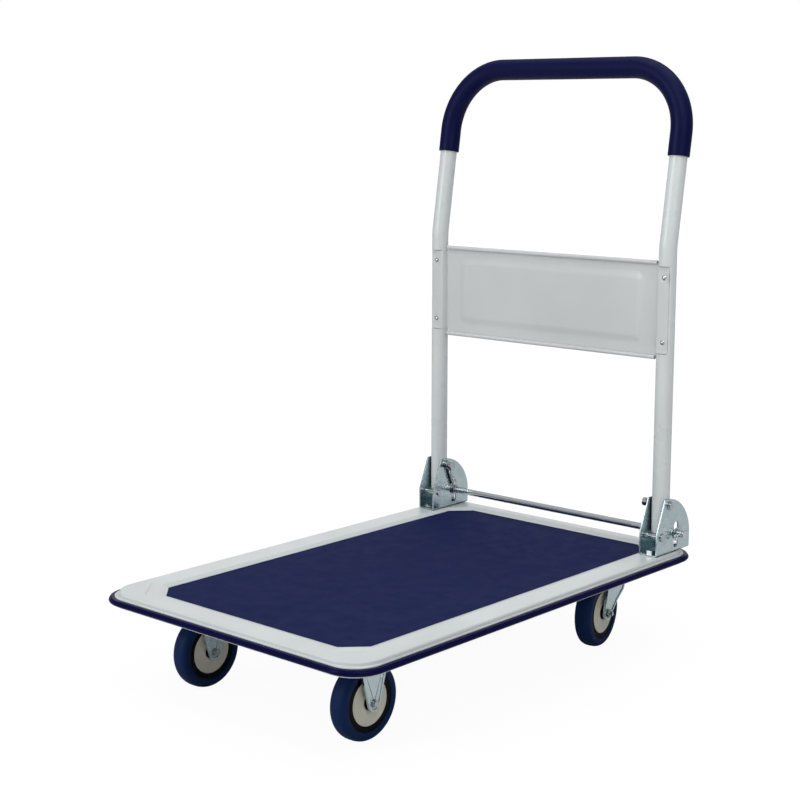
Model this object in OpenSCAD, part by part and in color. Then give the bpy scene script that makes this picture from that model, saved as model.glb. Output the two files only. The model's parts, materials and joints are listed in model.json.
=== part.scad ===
// Folding platform trolley: pressed steel deck with an inlaid mat and an edge bumper,
// a U-shaped push handle that folds down over the deck, a sprung lock bar in two
// bolted brackets, two fixed front casters and two swivel rear casters.
// Origin: on the floor under the middle of the deck. +X front, +Y left, +Z up.

/* [Deck] */
// Length of the flat deck top, front to back
deck_l = 699; // [680:1:720]
// Width of the flat deck top
deck_w = 452; // [446:1:460]
// Height of the deck top above the floor
deck_h = 136; // [134:0.5:140]
// Thickness of the pressed deck sheet
pan_t = 1.3; // [1.0:0.1:1.6]
// Corner radius of the deck top
deck_corner_r = 44; // [30:1:50]
// Height of the step from the deck top down to its flange
deck_step = 5.1; // [4:0.1:6]
// Depth of the whole pan, from deck top to the bottom of its rim
pan_depth = 17.4; // [14:0.1:18]
// Length of the inlaid mat
mat_l = 625.8; // [600:0.2:630]
// Width of the inlaid mat
mat_w = 362.6; // [350:0.2:366]
// Corner chamfer of the inlaid mat
mat_chamfer = 27; // [20:1:40]
// How far the mat is set back from the middle of the deck
mat_shift = 6.9; // [4:0.1:10]
// Depth of the mat's top face below the deck top
mat_sink = 2.9; // [2:0.1:3.4]
// Thickness of the mat
mat_t = 2; // [1.5:0.1:2.5]
// Width of the sloping rim round the recess
rim_w = 8.8; // [5:0.1:9]

/* [Edge bumper] */
// How far the bumper stands out from the deck flange
bumper_out = 8; // [6:0.5:10]
// Height of the bumper section
bumper_h = 7.8; // [7:0.1:8.4]

/* [Casters] */
// Radius of the wheels
wheel_r = 50; // [48:0.5:50]
// Width of the wheels
wheel_w = 25; // [22:0.5:26]
// Distance of the front axle line ahead of the deck middle
front_axle_x = 250.2; // [230:0.1:260]
// Distance of the front wheels from the centre line
front_wheel_y = 142.7; // [130:0.1:150]
// Distance of the swivel axes behind the deck middle
kingpin_x = 264.9; // [255:0.1:270]
// Distance of the swivel axes from the centre line
kingpin_y = 137.6; // [130:0.1:145]
// Distance from the swivel axis to the rear axle
trail = 30; // [28:0.5:32]
// Resting turn of the rear left caster
rear_left_turn = 9.85; // [-20:0.05:20]
// Resting turn of the rear right caster
rear_right_turn = 0; // [-20:0.05:20]
// Sheet thickness of the caster forks
fork_t = 2.5; // [2:0.1:3]

/* [Brackets and lock] */
// Thickness of the bracket sheet
cheek_t = 2.2; // [1.8:0.1:2.4]
// Length of a bracket along the deck
bracket_l = 84; // [80:1:86]
// Height of a bracket above the deck
bracket_h = 79.5; // [79:0.5:82]
// Radius of the handle pivot pins and stop pins
pin_r = 4; // [3.5:0.1:4.2]
// Radius of the lock bar
rod_r = 5; // [4.5:0.1:5]

/* [Handle] */
// Outer radius of the handle tube
tube_r = 12.5; // [12:0.1:12.6]
// Wall of the handle tube
tube_wall = 1.5; // [1.2:0.1:2]
// Distance of each upright from the centre line
tube_y = 206; // [204:0.5:208]
// Height above the deck at which the uprights bend back
kink_h = 433; // [420:1:450]
// Backward lean of the upper part of the handle
lean = 8.9; // [6:0.1:10]
// Length of the leaning part up to the middle of the top bar
upper_l = 247; // [240:1:260]
// Centre line radius of the two upper bends
bend_r = 90; // [80:1:100]
// Outer radius of the soft grip
grip_r = 15.3; // [14.5:0.1:16]
// Length of grip below each upper bend
grip_tail = 33; // [20:1:50]
// Height above the deck of the back panel's lower edge
panel_low = 275; // [270:0.5:290]
// Height of the back panel
panel_h = 138.5; // [120:0.5:140]

/* [Hidden] */
$fn = 64;
clearance = 0.05;                           // running and assembly clearance
overlap = 0.01;                             // bite between parts of one solid
seat_gap = 0.02;                            // gap under seated heads, nuts and the mat
left = 1;                                   // sides, as signs of Y
right = -1;
// bolts and nuts of the brackets and caster plates
bolt_flats = 13;
bolt_head_h = 5;
bolt_r = 3.9;

// ---------- shared shapes ----------
module rounded_rect(length, width, radius) {
  square([length - 2 * radius, width], center = true);
  square([length, width - 2 * radius], center = true);
  for (i = [-1, 1], j = [-1, 1])
    translate([i * (length / 2 - radius), j * (width / 2 - radius)]) circle(radius);
}
module octagon(length, width, chamfer) {
  x = length / 2;
  y = width / 2;
  polygon([[x - chamfer, -y], [x, -y + chamfer], [x, y - chamfer], [x - chamfer, y],
           [-x + chamfer, y], [-x, y - chamfer], [-x, -y + chamfer], [-x + chamfer, -y]]);
}
// a flat outline made solid between two heights
module slab(bottom, top) translate([0, 0, bottom]) linear_extrude(top - bottom) children();
// a thin slab, for one end of a hull
module slice(bottom) slab(bottom, bottom + 0.1) children();
module ring(bottom, top, outer_r, inner_r) translate([0, 0, bottom]) difference() {
  cylinder(r = outer_r, h = top - bottom);
  translate([0, 0, -1]) cylinder(r = inner_r, h = top - bottom + 2);
}
// a round bar along Y, through the X and Z of a point
module ybar(axis, radius, y_from, y_to)
  translate([axis.x, y_to, axis.z]) rotate([90, 0, 0]) cylinder(r = radius, h = y_to - y_from);
// round bars on one axis; each step is [radius, y from, y to]
module stepped_bar(axis, steps) for (step = steps) ybar(axis, step[0], step[1], step[2]);
// a wire ring about the Y axis
module wire_loop(path_r, wire_r)
  rotate([90, 0, 0]) rotate_extrude() translate([path_r, 0]) circle(wire_r);
// an outline in X and Z made solid between two Y values
module side_sheet(y_from, y_to)
  translate([0, y_to, 0]) rotate([90, 0, 0]) linear_extrude(y_to - y_from) children();
module hex_prism(flats, height) cylinder(r = flats / 2 / cos(30), h = height, $fn = 6);
module nut(height) difference() {
  hex_prism(bolt_flats, height);
  translate([0, 0, -1]) cylinder(r = bolt_r + clearance, h = height + 2.5);
}
// a left-hand shape and its mirror image across Y = 0
module both_sides() for (i = [0, 1]) mirror([0, i, 0]) children();

// ---------- deck ----------
flange_out = 2.2;                           // flange beyond the deck step
flange_l = deck_l + 2 * flange_out;
flange_w = deck_w + 2 * flange_out;
flange_r = 38;
flange_top = deck_h - deck_step;
flange_base = flange_top - pan_t;
pan_bottom = deck_h - pan_depth;
rim_inset = 10;                             // width of the lip turned in under the pan
mat_top = deck_h - mat_sink;
recess_floor = mat_top - mat_t;
mat_gap = 0.5;                              // gap between the mat and the recess wall
chamfer_gap = 0.4;                          // extra chamfer of the recess over the mat's
chamfer_growth = 0.5858;                    // 2 - sqrt(2): moves all eight sides equally
bead = [305.8, 188.9, deck_h - 0.7];        // middle of the left corner bead
bead_turn = 40.9;
bead_r = 1.7;
bead_l = 52;
bracket_bolt_x = [-276, -329];
bracket_hole_r = 4.2;

module at_mat() translate([-mat_shift, 0, 0]) children();
module at_bracket_bolts()
  for (x = bracket_bolt_x, s = [-1, 1]) translate([x, s * tube_y, 0]) children();
// outline of the recess, grown outwards
module recess_outline(grow)
  octagon(mat_l + 2 * mat_gap + 2 * grow, mat_w + 2 * mat_gap + 2 * grow,
          mat_chamfer + chamfer_gap + chamfer_growth * grow);

module pan_blank() {
  slab(flange_base, deck_h) rounded_rect(deck_l, deck_w, deck_corner_r);
  slab(flange_base, flange_top) rounded_rect(flange_l, flange_w, flange_r);
  slab(pan_bottom, flange_base) rounded_rect(flange_l, flange_w, flange_r);
  // diagonal bead pressed across each front corner
  for (s = [-1, 1])
    translate([bead.x, s * bead.y, bead.z]) rotate([0, 0, -s * bead_turn]) rotate([90, 0, 0])
      translate([0, 0, -bead_l / 2]) cylinder(r = bead_r, h = bead_l);
}
// hollow under the border; the sheet round the recess is left standing
module pan_hollow() difference() {
  union() {
    slab(flange_base - overlap, deck_h - pan_t)
      rounded_rect(deck_l - 2 * pan_t, deck_w - 2 * pan_t, deck_corner_r - pan_t);
    slab(pan_bottom + pan_t, flange_base)
      rounded_rect(flange_l - 2 * pan_t, flange_w - 2 * pan_t, flange_r - pan_t);
    slab(pan_bottom - 1, pan_bottom + pan_t + overlap)
      rounded_rect(flange_l - 2 * rim_inset, flange_w - 2 * rim_inset, flange_r - rim_inset);
  }
  at_mat() slab(recess_floor - pan_t, deck_h + 1) recess_outline(pan_t);
  at_mat() hull() {
    slice(mat_top - pan_t - 0.1) recess_outline(pan_t);
    slice(deck_h - pan_t) recess_outline(rim_w + 0.3);
  }
}
// recess for the mat, its rim sloping up to the border
module mat_recess() at_mat() {
  slab(recess_floor, deck_h + 2) recess_outline(0);
  hull() {
    slice(mat_top + 0.1) recess_outline(0);
    slice(deck_h) recess_outline(rim_w);
  }
}
module deck_pan() color([0.84, 0.86, 0.85]) difference() {
  pan_blank();
  pan_hollow();
  mat_recess();
  at_bracket_bolts() translate([0, 0, deck_h - 5]) cylinder(r = bracket_hole_r, h = 10);
}
module deck_mat() color([0.14, 0.16, 0.32])
  at_mat() slab(recess_floor + seat_gap, mat_top) octagon(mat_l, mat_w, mat_chamfer);

// ---------- edge bumper ----------
bumper_z = flange_base - bumper_h / 2;
bumper_gap = 0.1;                           // between the flange and the bumper
bumper_lip = 1.2;                           // lip below the section, against the flange
corner_x = flange_l / 2 - flange_r;         // centres of the flange's corners
corner_y = flange_w / 2 - flange_r;

module bumper_section() {                   // X outwards from the flange, Y up
  nose = bumper_out - bumper_h / 2;
  translate([nose, 0]) circle(bumper_h / 2);
  translate([bumper_gap, -bumper_h / 2]) square([nose - bumper_gap, bumper_h]);
  translate([bumper_gap, -bumper_h / 2 - bumper_lip]) square([2, 2]);
}
module bumper_straight(out, half_length)
  translate([out, half_length, 0]) rotate([90, 0, 0])
    linear_extrude(2 * half_length) bumper_section();
module bumper_corner() rotate_extrude(angle = 90) translate([flange_r, 0]) bumper_section();
module edge_bumper() color([0.15, 0.14, 0.32]) translate([0, 0, bumper_z])
  for (turn = [0, 180]) rotate([0, 0, turn]) {
    bumper_straight(flange_l / 2, corner_y);
    rotate([0, 0, 90]) bumper_straight(flange_w / 2, corner_x);
    translate([corner_x, corner_y, 0]) bumper_corner();
    translate([-corner_x, corner_y, 0]) rotate([0, 0, 90]) bumper_corner();
  }

// ---------- folded channels that carry the casters ----------
plate_top = 120;                            // top of the caster plates
plate_t = 3;
plate_bottom = plate_top - plate_t;
plate_l = 105;
plate_w = 80;
bolt_x = 40;                                // caster bolts from the plate's middle
bolt_y = 30;
caster_hole_r = 4.3;
channel_t = 2;
channel_w = 392;
channel_near = 48;                          // reach from the caster towards the deck's end
channel_far = 62;                           // reach from the caster, front one back and
                                            // rear one forwards

module bolt_pattern()
  for (i = [-1, 1], j = [-1, 1]) translate([i * bolt_x, j * bolt_y, 0]) children();
// caster_x and caster_y place the casters; kingpin_hole is a radius, 0 for no hole
module channel(x_from, x_to, caster_x, caster_y, kingpin_hole) color([0.72, 0.74, 0.74]) {
  difference() {
    translate([x_from, -channel_w / 2, plate_top])
      cube([x_to - x_from, channel_w, channel_t]);
    for (s = [-1, 1]) translate([caster_x, s * caster_y, plate_top - 5]) {
      bolt_pattern() cylinder(r = caster_hole_r, h = 10);
      if (kingpin_hole > 0) cylinder(r = kingpin_hole, h = 10);
    }
  }
  for (x = [x_from - channel_t, x_to]) translate([x, -channel_w / 2, plate_top])
    cube([channel_t, channel_w, recess_floor - pan_t - plate_top]);
}
module front_channel()
  channel(front_axle_x - channel_far, front_axle_x + channel_near,
          front_axle_x, front_wheel_y, 0);
module rear_channel()
  channel(-kingpin_x - channel_near, -kingpin_x + channel_far, -kingpin_x, kingpin_y, 12);

// ---------- brackets ----------
tube_gap = 0.2;
cheek_in = tube_y - tube_r - tube_gap;      // inner cheek, face towards the tube
cheek_out = tube_y + tube_r + tube_gap;     // outer cheek, face towards the tube
inner_face = cheek_in - cheek_t;            // faces away from the tube
outer_face = cheek_out + cheek_t;
fold_out = 3.2;                             // outer radius of the bracket's folds
fold_in = fold_out - cheek_t;
bracket_front = -266.5;
bracket_back = bracket_front - bracket_l;
bracket_nose_h = 31.5;                      // height of the upright front edge
bracket_slope = 19.5;                       // run of the slope above it
bracket_arc = [-291, deck_h + 19.5];        // X and Z of the rounded top's centre
bracket_arc_r = 60;
bracket_foot_h = 20;                        // full-length part below the rounding
pivot = [-297, 0, deck_h + 69.5];           // handle pivot axis
stop = [-279, 0, deck_h + 26.5];            // front stop pin axis
rod = [-315.5, 0, deck_h + 26.4];           // lock bar axis
slot_r = 5.3;                               // half width of the lock bar's slot
slot_low = deck_h + 11;                     // centres of the slot's round ends
slot_high = deck_h + 43.6 - slot_r;
bracket_nut_h = 5.5;

module cheek_outline() intersection() {     // in X and Z
  translate([0, deck_h])
    polygon([[bracket_back, 0], [bracket_front, 0], [bracket_front, bracket_nose_h],
             [bracket_front - bracket_slope, bracket_h], [bracket_back, bracket_h]]);
  union() {
    translate(bracket_arc) circle(bracket_arc_r, $fn = 96);
    translate([bracket_back, deck_h]) square([bracket_l, bracket_foot_h]);
  }
}
// folded channel: X across from its middle, Y up from the deck
module bracket_section() {
  half_out = outer_face - tube_y;
  half_in = cheek_out - tube_y;
  difference() {
    union() {
      translate([-half_out, fold_out]) square([2 * half_out, bracket_h]);
      translate([fold_out - half_out, 0]) square([2 * (half_out - fold_out), 2 * fold_out]);
      for (s = [-1, 1]) translate([s * (half_out - fold_out), fold_out]) circle(fold_out);
    }
    translate([-half_in, fold_out]) square([2 * half_in, 2 * bracket_h]);
    translate([fold_in - half_in, cheek_t]) square([2 * (half_in - fold_in), 2 * fold_out]);
    for (s = [-1, 1]) translate([s * (half_in - fold_in), fold_out]) circle(fold_in);
  }
}
// cutter through both cheeks of the left bracket
module cheek_hole(axis, radius) ybar(axis, radius, tube_y - 30, tube_y + 30);
module bracket() color([0.62, 0.68, 0.70]) difference() {
  intersection() {
    translate([bracket_back, tube_y, deck_h]) rotate([90, 0, 90])
      linear_extrude(bracket_l) bracket_section();
    side_sheet(cheek_in - 10, cheek_out + 10) cheek_outline();
  }
  cheek_hole(pivot, pin_r + clearance);
  cheek_hole(stop, pin_r + clearance);
  for (z = [slot_low, slot_high]) cheek_hole([rod.x, 0, z], slot_r);
  translate([rod.x - slot_r, tube_y - 30, slot_low])
    cube([2 * slot_r, 60, slot_high - slot_low]);
  for (x = bracket_bolt_x) translate([x, tube_y, deck_h - 1])
    cylinder(r = bracket_hole_r, h = 6);
}
module left_bracket() bracket();
module right_bracket() mirror([0, 1, 0]) bracket();

module bracket_bolts() color([0.75, 0.78, 0.78])
  for (x = bracket_bolt_x, s = [-1, 1]) translate([x, s * tube_y, 0]) {
    // each head rests at its own turn
    translate([0, 0, deck_h + cheek_t + seat_gap]) rotate([0, 0, 12 * s + x])
      hex_prism(bolt_flats, bolt_head_h);
    translate([0, 0, deck_h - 8]) cylinder(r = bolt_r, h = 8 + cheek_t + 1);
  }
module bracket_nuts() color([0.7, 0.73, 0.73])
  at_bracket_bolts() translate([0, 0, deck_h - pan_t - bracket_nut_h - seat_gap])
    nut(bracket_nut_h);

// steps of the pins: radius, y from, y to
// pivot pin: shank, head, button on the head, then two collars either side of the groove
// for the spring's upper loop
pivot_pin_steps = [
  [pin_r, 181, outer_face + 1],
  [6.2, outer_face + clearance, outer_face + 2.2],
  [4.8, outer_face + 2, outer_face + 3.4],
  [6, 178, 184.6],
  [6, 188.6, inner_face - clearance]];
// stop pin: shank and head
stop_pin_steps = [
  [pin_r, inner_face - 2, outer_face + 1],
  [5.6, outer_face + clearance, outer_face + 2.4]];

module pivot_pins() color([0.66, 0.70, 0.72])
  both_sides() stepped_bar(pivot, pivot_pin_steps);
// stops in front of the uprights' feet, which keep the handle from swinging back past upright
module stop_pins() color([0.66, 0.70, 0.72])
  both_sides() stepped_bar(stop, stop_pin_steps);

// ---------- lock bar ----------
rod_end = 232;                              // end of the full-size bar
cotter_y = 227.5;
cotter_turn = 16;
washer_r = 8.2;
washer_t = 1.5;
washer_gap = 0.2;

// frame of the left split pin, its X along the pin
module at_cotter()
  translate([rod.x, cotter_y, rod.z]) rotate([0, cotter_turn, 0]) children();
module lock_rod() color([0.78, 0.80, 0.80]) difference() {
  union() {
    ybar(rod, rod_r, -rod_end, rod_end);
    both_sides() ybar(rod, rod_r - 1, rod_end - 1, rod_end + 3);
  }
  both_sides() at_cotter() rotate([0, 90, 0]) cylinder(r = 1.7, h = 20, center = true);
}
// split pins through the rod's ends: an eye in front and two parted legs behind
module cotter_pins() color([0.80, 0.82, 0.82]) both_sides() at_cotter() {
  translate([-9, 0, 0]) rotate([0, 90, 0]) cylinder(r = 1.55, h = 16);
  translate([11.2, 0, 0]) wire_loop(3.4, 1.3);
  for (s = [-1, 1]) translate([-8.6, 0, 0]) rotate([s * 18, -90, 0]) rotate([0, s * 16, 0])
    cylinder(r = 0.9, h = 9);
}
module rod_washers() color([0.55, 0.58, 0.60]) both_sides()
  for (y = [inner_face - washer_gap - washer_t, outer_face + washer_gap]) difference() {
    ybar(rod, washer_r, y, y + washer_t);
    ybar(rod, rod_r + clearance, y - 1, y + 3);
  }

// tension springs from the pivot pins down to the lock bar
spring_y = 187;
spring_len = norm(rod - pivot);
spring_tilt = atan2(rod.x - pivot.x, pivot.z - rod.z);
wire_r = 0.65;
coil_r = 2.85;
coil_from = 7;                              // coil's ends, measured from the pivot axis
coil_to = spring_len - 9;
pin_loop_r = 4.8;
rod_loop_r = 5.8;
shank_reach = 1.1;                          // how far the shanks run into the coil
mouth_inset = 0.9;                          // cross wires in from the coil's ends

// own frame: Z from the pivot axis towards the lock bar
module return_spring() color([0.58, 0.60, 0.62])
  translate([pivot.x, spring_y, pivot.z]) rotate([0, -spring_tilt, 0]) mirror([0, 0, 1]) {
    ring(coil_from, coil_to, coil_r + wire_r, coil_r - wire_r);
    // end loops round the pin and the rod, each on a shank to a wire across the coil's mouth
    wire_loop(pin_loop_r, wire_r);
    translate([0, 0, spring_len]) wire_loop(rod_loop_r, wire_r);
    translate([0, 0, pin_loop_r])
      cylinder(r = wire_r, h = coil_from + shank_reach - pin_loop_r);
    translate([0, 0, coil_to - shank_reach])
      cylinder(r = wire_r, h = spring_len - rod_loop_r - coil_to + shank_reach);
    for (z = [coil_from + mouth_inset, coil_to - mouth_inset])
      translate([-coil_r, 0, z]) rotate([0, 90, 0]) cylinder(r = wire_r - 0.05, h = 2 * coil_r);
  }
module left_return_spring() return_spring();
module right_return_spring() mirror([0, 1, 0]) return_spring();

// ---------- handle ----------
tube_x = pivot.x;
tube_bottom = deck_h + 29.9;
bush_r = 5.5;                               // sleeve through each upright at the pivot
kink_z = deck_h + kink_h;
half_kink = 4.67;                           // length of upright taken up by half of the kink
kink_r = half_kink / tan(lean / 2);
bend_y = tube_y - bend_r;                   // centres of the upper bends, leaning plane
bend_z = upper_l - bend_r;
grip_low = bend_z - grip_tail;
flat_face = 7;                              // flattened front, ahead of the tube's axis
flat_x = tube_x + flat_face;
tab_z0 = deck_h + 285;                      // lower and upper ends of the panel's tabs
tab_z1 = deck_h + 405.5;
flat_z0 = tab_z0 - 1;                       // ends of the flattened part under a tab
flat_z1 = tab_z1 + 1;
rivet_z = [deck_h + 300.5, deck_h + 390.5];
rivet_hole_r = 2.1;

// the leaning plane above the kink: X out of the plane, Y across, Z along
module leaning() translate([tube_x, 0, kink_z]) rotate([0, -lean, 0]) children();
// a tube section swept round both upper bends
module along_bends()
  for (s = [-1, 1]) translate([0, s * bend_y, bend_z]) rotate([90, 0, s * 90])
    rotate_extrude(angle = 90) translate([bend_r, 0]) children();
module at_top_bar() translate([0, bend_y, upper_l]) rotate([90, 0, 0]) children();
// solid bar along the top of the handle, starting at z_from on each upright
module upper_bar(radius, z_from) leaning() {
  for (s = [-1, 1]) translate([0, s * tube_y, z_from])
    cylinder(r = radius, h = bend_z - z_from);
  along_bends() circle(radius);
  at_top_bar() cylinder(r = radius, h = 2 * bend_y);
}
// a disc cut off flat in front
module cut_disc(radius, face) intersection() {
  circle(radius);
  translate([-20, -20]) square([20 + face, 40]);
}
// cross-sections of an upright: round, and flattened under a panel tab
module tube_ring() difference() {
  circle(tube_r);
  circle(tube_r - tube_wall);
}
module flat_ring() difference() {
  cut_disc(tube_r, flat_face);
  cut_disc(tube_r - tube_wall, flat_face - tube_wall);
}
module at_rivets(x)
  for (z = rivet_z, s = [-1, 1]) translate([x, s * tube_y, z]) rotate([0, 90, 0]) children();

// one upright about its axis, up to the top of the kink
module upright() {
  slab(tube_bottom, flat_z0) tube_ring();
  slab(flat_z0, flat_z1) flat_ring();
  slab(flat_z1, kink_z - half_kink) tube_ring();
  translate([-kink_r, 0, kink_z - half_kink]) rotate([90, 0, 0])
    rotate_extrude(angle = lean) translate([kink_r, 0]) tube_ring();
  // step walls that close the flattened part
  for (z = [flat_z0 - tube_wall, flat_z1]) slab(z, z + tube_wall) intersection() {
    circle(tube_r - 0.01);
    translate([flat_face - tube_wall, -20]) square([20, 40]);
  }
}
module upper_tube() leaning() {
  for (s = [-1, 1]) {
    translate([0, s * tube_y, half_kink + overlap])
      linear_extrude(bend_z - half_kink - overlap) tube_ring();
    // seam band that joins the kink to the straight above it
    translate([0, s * tube_y, half_kink - 1]) linear_extrude(2) difference() {
      circle(tube_r + 0.03);
      circle(tube_r - tube_wall + 0.25);
    }
  }
  along_bends() tube_ring();
  at_top_bar() linear_extrude(2 * bend_y) tube_ring();
}
module handle_tube() color([0.78, 0.81, 0.81]) difference() {
  union() {
    for (s = [-1, 1]) translate([tube_x, s * tube_y, 0]) upright();
    upper_tube();
  }
  ybar(pivot, bush_r + clearance, -230, 230);
  at_rivets(tube_x) cylinder(r = rivet_hole_r, h = 20);
}
module grip_sleeve() color([0.08, 0.11, 0.28]) difference() {
  upper_bar(grip_r, grip_low);
  upper_bar(tube_r + clearance, grip_low - 1);
}
// sleeves through the uprights that turn on the pivot pins
module pivot_bushes() color([0.5, 0.5, 0.5]) both_sides() difference() {
  ybar(pivot, bush_r, tube_y - tube_r, tube_y + tube_r);
  ybar(pivot, pin_r + clearance, tube_y - 20, tube_y + 20);
}

// ---------- back panel ----------
panel_t = 1.2;                              // panel sheet
panel_back = -2.25;                         // sheet's rear face from the tube's axis
panel_x = tube_x + panel_back;
panel_half_w = 190;
curl_r = 3;                                 // rolled lower and upper edges
curl_bore_r = 1.8;
panel_z0 = deck_h + panel_low;
curl_z = [panel_z0 + curl_r, panel_z0 + panel_h - curl_r];
field_half_w = 163;                         // field pressed forwards in the sheet
field_z = deck_h + 300;
field_h = 91.5;
field_press = 1.5;
strip_y = 188;                              // inner end of the strip joining sheet and tab

// section of a tab about the left upright: round its inner side and over its flattened front
module tab_section() intersection() {
  difference() {
    cut_disc(tube_r + clearance + panel_t, flat_face + clearance + panel_t);
    cut_disc(tube_r + clearance, flat_face + clearance);
  }
  polygon([[panel_back, -20], [20, -20], [20, 8.2], [6, 8.2], [6, 0], [panel_back, 0]]);
}
module panel_sheet() difference() {
  union() {
    translate([panel_x, -panel_half_w, curl_z[0]])
      cube([panel_t, 2 * panel_half_w, panel_h - 2 * curl_r]);
    translate([panel_x + panel_t - 0.1, -field_half_w, field_z])
      cube([field_press + 0.1, 2 * field_half_w, field_h]);
  }
  translate([panel_x - 1, -field_half_w + panel_t, field_z + panel_t])
    cube([1 + field_press, 2 * (field_half_w - panel_t), field_h - 2 * panel_t]);
}
module back_panel() color([0.73, 0.74, 0.74]) difference() {
  union() {
    panel_sheet();
    both_sides() slab(tab_z0, tab_z1) {
      translate([tube_x, tube_y]) tab_section();
      translate([panel_x, strip_y]) square([panel_t, tube_y - tube_r - 0.4 - strip_y]);
    }
    for (z = curl_z) ybar([panel_x + curl_r, 0, z], curl_r, -panel_half_w, panel_half_w);
  }
  for (z = curl_z)
    ybar([panel_x + curl_r, 0, z], curl_bore_r, -panel_half_w - 3, panel_half_w + 3);
  at_rivets(flat_x - 5) cylinder(r = rivet_hole_r, h = 20);
}
// shank, tail inside the tube and domed head in front
module panel_rivets() color([0.8, 0.82, 0.82]) at_rivets(flat_x) {
  translate([0, 0, -tube_wall - 1.6]) cylinder(r = 2, h = tube_wall + 4);
  translate([0, 0, -tube_wall - 2.4]) cylinder(r = 3, h = 2.35);
  translate([0, 0, 1.28]) rotate_extrude() intersection() {
    translate([0, -2.6]) circle(4.2);
    square([5, 5]);
  }
}

// ---------- casters ----------
axle_z = 50;                                // height of the axles
leg_in = 15.5;                              // inner face of a fork leg from the wheel's middle
leg_out = leg_in + fork_t;
leg_rim = 1;                                // pressed rim standing out along a leg's edges
boss_r = 10;                                // leg's round end about the axle
boss_field_r = 7.6;                         // inside of the rim there
axle_r = 3;
axle_flats = 10;
sleeve_r = 5;
crown_top = 106;                            // top of the swivel forks
race_z = 111;                               // underside of the swivel plates' race
race_path_r = 21.5;
race_ball_count = 14;
kingpin_r = 6;
kingpin_base = 101;
fixed_half_l = 28.8;                        // half length of a fixed fork's top
caster_nut_h = 6.5;

// leg outlines and the fields inside their rims: X from the axle, Z above the floor
fixed_leg = [[9.6, 47.3], [fixed_half_l, plate_bottom], [-fixed_half_l, plate_bottom],
  [-9.6, 47.3]];
fixed_field = [[6.9, 47], [25.6, 118], [-25.6, 118], [-6.9, 47]];
swivel_leg = [
  [9.9, 51], [9.2, 58.6], [5.9, 69.5], [0.8, 83.9], [-6, crown_top - 0.3],
  [-54.3, crown_top - 0.3], [-54.3, 78], [-51.5, 72.8], [-30.7, 61.4], [-17.6, 50.5],
  [-7.5, 43.4], [0, 45]];
swivel_field = [
  [7.2, 50], [6.6, 58.2], [3.4, 68.8], [-1.8, 83], [-9, 108],
  [-51.5, 108], [-51.5, 79], [-49, 74.6], [-28.6, 63.4], [-14.6, 51.4],
  [-5.5, 45.2]];

// caster frames: front wheel middle, kingpin, turned rear fork, rear wheel middle
module at_front(side) translate([front_axle_x, side * front_wheel_y, 0]) children();
module at_kingpin(side) translate([-kingpin_x, side * kingpin_y, 0]) children();
module at_rear(side)
  at_kingpin(side) rotate([0, 0, side == left ? rear_left_turn : rear_right_turn]) children();
module at_rear_wheel(side) at_rear(side) translate([trail, 0, 0]) children();
module at_caster_bolts() for (side = [right, left]) {
  at_front(side) bolt_pattern() children();
  at_kingpin(side) bolt_pattern() children();
}

module caster_plate(hole_r) difference() {  // hole_r 0 for no hole
  slab(plate_bottom, plate_top) rounded_rect(plate_l, plate_w, 8);
  bolt_pattern() translate([0, 0, 100]) cylinder(r = caster_hole_r, h = 40);
  if (hole_r > 0) translate([0, 0, 100]) cylinder(r = hole_r, h = 40);
}
module leg_shape(axle_x, points, end_r) translate([axle_x, 0]) {
  translate([0, axle_z]) circle(end_r);
  polygon(points);
}
// both legs of a fork, each a sheet with a rim along its edges
module fork_legs(axle_x, outline, field) both_sides() difference() {
  union() {
    side_sheet(leg_in, leg_out) leg_shape(axle_x, outline, boss_r);
    side_sheet(leg_out - overlap, leg_out + leg_rim) difference() {
      leg_shape(axle_x, outline, boss_r);
      leg_shape(axle_x, field, boss_field_r);
    }
  }
  ybar([axle_x, 0, axle_z], axle_r + clearance, leg_in - 2, leg_out + 4);
}
module fixed_fork() color([0.66, 0.72, 0.74]) {
  caster_plate(0);
  translate([-fixed_half_l, -leg_out, plate_bottom - fork_t])
    cube([2 * fixed_half_l, 2 * leg_out, fork_t + overlap]);
  fork_legs(0, fixed_leg, fixed_field);
}
module front_left_fork() at_front(left) fixed_fork();
module front_right_fork() at_front(right) fixed_fork();

module swivel_plate() color([0.66, 0.72, 0.74]) {
  caster_plate(kingpin_r + 0.2);
  ring(race_z, plate_bottom + overlap, 26, 17);
}
module rear_left_swivel_plate() at_kingpin(left) swivel_plate();
module rear_right_swivel_plate() at_kingpin(right) swivel_plate();
// shank, lower and upper heads, and a collar under the plate
module kingpins() color([0.6, 0.62, 0.64]) for (side = [right, left]) at_kingpin(side) {
  translate([0, 0, kingpin_base]) cylinder(r = kingpin_r, h = 21);
  translate([0, 0, kingpin_base]) cylinder(r = 9, h = 2.4);
  translate([0, 0, plate_top + seat_gap]) cylinder(r = 9, h = 3);
  ring(race_z + 0.5, plate_bottom - seat_gap, 8.5, 5.9);
}
// own frame: origin on the floor under the kingpin, wheel ahead by the trail
module swivel_fork() color([0.66, 0.72, 0.74]) difference() {
  union() {
    slab(crown_top - fork_t, crown_top)
      translate([-24.3, -leg_out]) square([48.3, 2 * leg_out]);
    slab(crown_top - fork_t, crown_top) circle(28);
    fork_legs(trail, swivel_leg, swivel_field);
  }
  translate([0, 0, crown_top - 10]) cylinder(r = kingpin_r + clearance, h = 20);
}
module rear_left_fork() at_rear(left) swivel_fork();
module rear_right_fork() at_rear(right) swivel_fork();
module race_balls() color([0.75, 0.75, 0.76])
  for (i = [0 : race_ball_count - 1]) rotate([0, 0, i * 360 / race_ball_count])
    translate([race_path_r, 0, (crown_top + race_z) / 2])
      sphere(r = (race_z - crown_top) / 2 - 0.03, $fn = 32);
module rear_left_race_balls() at_rear(left) race_balls();
module rear_right_race_balls() at_rear(right) race_balls();

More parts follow.
